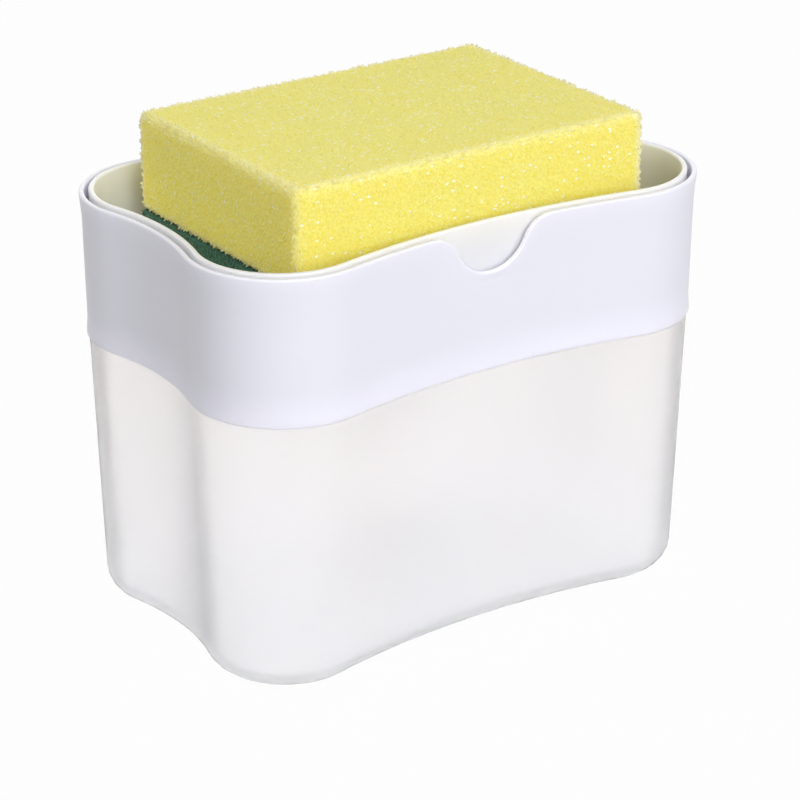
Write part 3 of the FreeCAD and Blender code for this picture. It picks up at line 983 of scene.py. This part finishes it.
def painted_film_glints(tree, coordinates):
    """1 in small long scattered spots of painted glint, where a torn film would catch the light.
    """
    mapping = tree.nodes.new("ShaderNodeMapping")
    mapping.inputs["Scale"].default_value = [part / glint_spacing for part in glint_stretch]
    tree.links.new(coordinates, mapping.inputs["Vector"])
    cells = tree.nodes.new("ShaderNodeTexVoronoi")
    cells.inputs["Scale"].default_value = 1
    tree.links.new(mapping.outputs["Vector"], cells.inputs["Vector"])
    spots = spread(tree, cells.outputs["Distance"], *glint_reach, 1.0, 0.0)
    kinds = tree.nodes.new("ShaderNodeSeparateColor")
    tree.links.new(cells.outputs["Color"], kinds.inputs["Color"])
    chosen = spread(tree, kinds.outputs["Red"], *glint_choice, 0.0, 1.0)
    both = tree.nodes.new("ShaderNodeMath")
    both.operation = "MULTIPLY"
    tree.links.new(spots, both.inputs[0])
    tree.links.new(chosen, both.inputs[1])
    return both.outputs["Value"]


def foam_material():
    """Yellow foam: open cells with painted shade, thin pale walls, pale edges of wear and painted
    backlight, and painted glints of torn film.
    """
    material, tree, shader, coordinates = new_material("foam_yellow", foam_roughness)
    cells = cell_texture(tree, coordinates, cell_size)
    # The same cells sink the bump, so their darker end is painted shade as well as the foam's own
    # mottle
    body = ramp(tree, cells, *cell_reach, foam_colours_and_painted_shade)
    patch = noise_texture(tree, coordinates, patch_size, detail=3.0)
    patched = spread(tree, patch, *patch_reach, 0.0, patch_share)
    body = mixed(tree, patched, body, foam_patch_colour)
    wear = tree.nodes.new("ShaderNodeAttribute")
    wear.attribute_name = "wear"
    # Pale edges: wear and painted backlight
    worn_and_backlit = spread(tree, wear.outputs["Fac"], 0.0, 1.0, 0.0, worn_backlit_share)
    body = mixed(tree, worn_and_backlit, body, foam_worn_backlit_colour)
    # Painted glints: pale spots in the base colour, with a lower roughness
    glint = painted_film_glints(tree, coordinates)
    tree.links.new(mixed(tree, glint, body, foam_painted_glint_colour), shader.inputs["Base Color"])
    gloss = spread(tree, glint, 0.0, 1.0, foam_roughness, glint_roughness)
    tree.links.new(gloss, shader.inputs["Roughness"])
    walls = noise_texture(tree, coordinates, cell_wall_size, detail=2.0)
    bump(tree, shader, summed(tree, walls, cells, cell_sink), cell_wall_depth)
    soften(shader, *foam_glow)
    glow = spread(tree, wear.outputs["Fac"], 0.0, 1.0, foam_glow[0], foam_worn_glow_share)
    tree.links.new(glow, shader.inputs["Subsurface Weight"])
    shader.inputs["Sheen Tint"].default_value = foam_sheen_colour
    shader.inputs["Specular IOR Level"].default_value = foam_shine
    shader.inputs["Sheen Weight"].default_value = foam_sheen
    return material


def scourer_material():
    """Green scouring pad: matted coarse fibres with painted shade between them, and a dusty sheen.
    """
    material, tree, shader, coordinates = new_material("scourer_green", scourer_roughness)
    along = noise_texture(tree, coordinates, strand_size, detail=3.0, stretch=strand_along)
    across = noise_texture(tree, coordinates, strand_size, detail=3.0, stretch=strand_across)
    strands = summed(tree, along, across, 1.0)
    # Darker where the bump sinks: painted shade between the fibres
    colour = ramp(tree, strands, *strand_reach, scourer_colours_and_painted_shade)
    tree.links.new(colour, shader.inputs["Base Color"])
    bump(tree, shader, strands, strand_depth)
    shader.inputs["Sheen Weight"].default_value = scourer_sheen
    return material


def steel_material():
    """Drawn steel of the spring and the valve balls."""
    material, tree, shader, coordinates = new_material("pump_steel", steel_roughness)
    drawn = noise_texture(tree, coordinates, drawn_size, detail=3.0, stretch=drawn_stretch)
    tree.links.new(ramp(tree, drawn, *drawn_reach, steel_colours), shader.inputs["Base Color"])
    gloss = spread(tree, drawn, 0.0, 1.0, *steel_roughness_reach)
    tree.links.new(gloss, shader.inputs["Roughness"])
    bump(tree, shader, drawn, drawn_depth)
    shader.inputs["Metallic"].default_value = 1.0
    return material


def dress_pump(steel):
    """Gives the pump's own solids their plastics, rubber and steel."""
    plastic = moulded_plastic("pump_white", pump_colours, pump_roughness, part_grain)[0]
    piston = moulded_plastic("piston_grey", piston_colours, piston_roughness, part_grain)[0]
    rubber = moulded_plastic("seal_grey", seal_colours, seal_roughness, seal_grain)[0]
    tube, tube_shader = moulded_plastic("tube_clear", tube_colours, tube_roughness, part_grain)
    tube_shader.inputs["Transmission Weight"].default_value = tube_clearness
    finishes = {
        "lock_nut": plastic,
        "pump_cylinder": plastic,
        "stem_guide": plastic,
        "ball_cage": plastic,
        "piston_rod": plastic,
        "pump_stem": plastic,
        "press_head": plastic,
        "piston_seal": piston,
        "pump_gasket": rubber,
        "dip_tube": tube,
        "inlet_ball": steel,
        "outlet_ball": steel,
    }
    for node, material in finishes.items():
        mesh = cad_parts[node].data
        mesh.materials.clear()
        mesh.materials.append(material)


def make_camera():
    """Camera at the photograph's place, turned by its small pan and tilt."""
    flat = math.cos(camera_elevation)
    back = Vector((
        math.sin(camera_azimuth) * flat,
        -math.cos(camera_azimuth) * flat,
        math.sin(camera_elevation),
    ))
    right = Vector((math.cos(camera_azimuth), math.sin(camera_azimuth), 0))
    up = back.cross(right)
    forward = -back
    panned_right = right * math.cos(camera_pan) - forward * math.sin(camera_pan)
    panned_forward = right * math.sin(camera_pan) + forward * math.cos(camera_pan)
    tilted_up = up * math.cos(camera_tilt) - panned_forward * math.sin(camera_tilt)
    tilted_forward = up * math.sin(camera_tilt) + panned_forward * math.cos(camera_tilt)
    data = bpy.data.cameras.new("camera")
    data.sensor_width = sensor_width
    data.lens = focal_pixels / image_side * sensor_width
    data.clip_start = clip_near
    data.clip_end = clip_far
    camera = bpy.data.objects.new("camera", data)
    bpy.context.scene.collection.objects.link(camera)
    turn = Matrix((panned_right, tilted_up, -tilted_forward)).transposed()
    camera.matrix_world = Matrix.Translation(look_at + back * camera_distance) @ turn.to_4x4()
    bpy.context.scene.camera = camera


def make_lamp(name, azimuth, elevation, distance, size, power, colour):
    """A square soft light that faces the caddy; azimuth 0 is in front and 90 at its right."""
    data = bpy.data.lights.new(name, "AREA")
    data.shape = "SQUARE"
    data.size = size
    data.energy = power
    data.color = colour
    lamp = bpy.data.objects.new(name, data)
    bpy.context.scene.collection.objects.link(lamp)
    a, e = math.radians(azimuth), math.radians(elevation)
    way = Vector((math.sin(a) * math.cos(e), -math.cos(a) * math.cos(e), math.sin(e)))
    lamp.location = look_at + way * distance
    lamp.rotation_mode = "QUATERNION"
    lamp.rotation_quaternion = way.to_track_quat("Z", "Y")


def white_to_lens(tree):
    """1 where a ray comes from the lens, a mirror or clear plastic, and 0 for light."""
    path = tree.nodes.new("ShaderNodeLightPath")
    glossy = tree.nodes.new("ShaderNodeMath")
    glossy.operation = "MAXIMUM"
    tree.links.new(path.outputs["Is Camera Ray"], glossy.inputs[0])
    tree.links.new(path.outputs["Is Glossy Ray"], glossy.inputs[1])
    every = tree.nodes.new("ShaderNodeMath")
    every.operation = "MAXIMUM"
    tree.links.new(glossy.outputs["Value"], every.inputs[0])
    tree.links.new(path.outputs["Is Transmission Ray"], every.inputs[1])
    return every.outputs["Value"]


def make_world(level):
    """Even sky light, and plain white for the lens."""
    world = bpy.data.worlds.new("studio")
    bpy.context.scene.world = world
    world.use_nodes = True
    tree = world.node_tree
    background = tree.nodes["Background"]
    background.inputs["Color"].default_value = (1, 1, 1, 1)
    strength = spread(tree, white_to_lens(tree), 0.0, 1.0, level, 1.0)
    tree.links.new(strength, background.inputs["Strength"])


def make_floor():
    """White table: seen by the lens it glows nearly white, and it keeps a faint shadow."""
    mesh = bpy.data.meshes.new("floor")
    corners = [
        (side_x * floor_reach, side_y * floor_reach, -floor_drop)
        for side_x, side_y in ((-1, -1), (1, -1), (1, 1), (-1, 1))
    ]
    mesh.from_pydata(corners, [], [(0, 1, 2, 3)])
    floor = bpy.data.objects.new("floor", mesh)
    bpy.context.scene.collection.objects.link(floor)
    material = bpy.data.materials.new("floor_white")
    material.use_nodes = True
    tree = material.node_tree
    shader = tree.nodes["Principled BSDF"]
    shader.inputs["Base Color"].default_value = floor_colour
    shader.inputs["Roughness"].default_value = floor_roughness
    glow = tree.nodes.new("ShaderNodeEmission")
    glow.inputs["Color"].default_value = (1, 1, 1, 1)
    blend = tree.nodes.new("ShaderNodeMixShader")
    shown = spread(tree, white_to_lens(tree), 0.0, 1.0, 0.0, floor_whiteness)
    tree.links.new(shown, blend.inputs["Fac"])
    tree.links.new(shader.outputs["BSDF"], blend.inputs[1])
    tree.links.new(glow.outputs["Emission"], blend.inputs[2])
    tree.links.new(blend.outputs["Shader"], tree.nodes["Material Output"].inputs["Surface"])
    mesh.materials.append(material)


bpy.context.scene.view_settings.view_transform = "Standard"
make_camera()
make_band(band_material())
make_tank(tank_material())
make_tray(tray_material())
make_soft(
    "sponge_top", foam_low, foam_high, foam_edge,
    (foam_step, foam_fine_step, foam_fine_reach), foam_relief,
    foam_material(), "foam", "sponge_foam",
)
make_soft(
    "sponge_scourer", scourer_low, scourer_high, scourer_edge,
    (scourer_step, scourer_fine_step, scourer_fine_reach), scourer_relief,
    scourer_material(), "scourer", "scourer_pad",
)
pump_steel = steel_material()
make_spring(pump_steel)
dress_pump(pump_steel)
make_floor()
make_world(sky_level)
for lamp_name, lamp_setting in lamps.items():
    make_lamp(lamp_name, *lamp_setting)
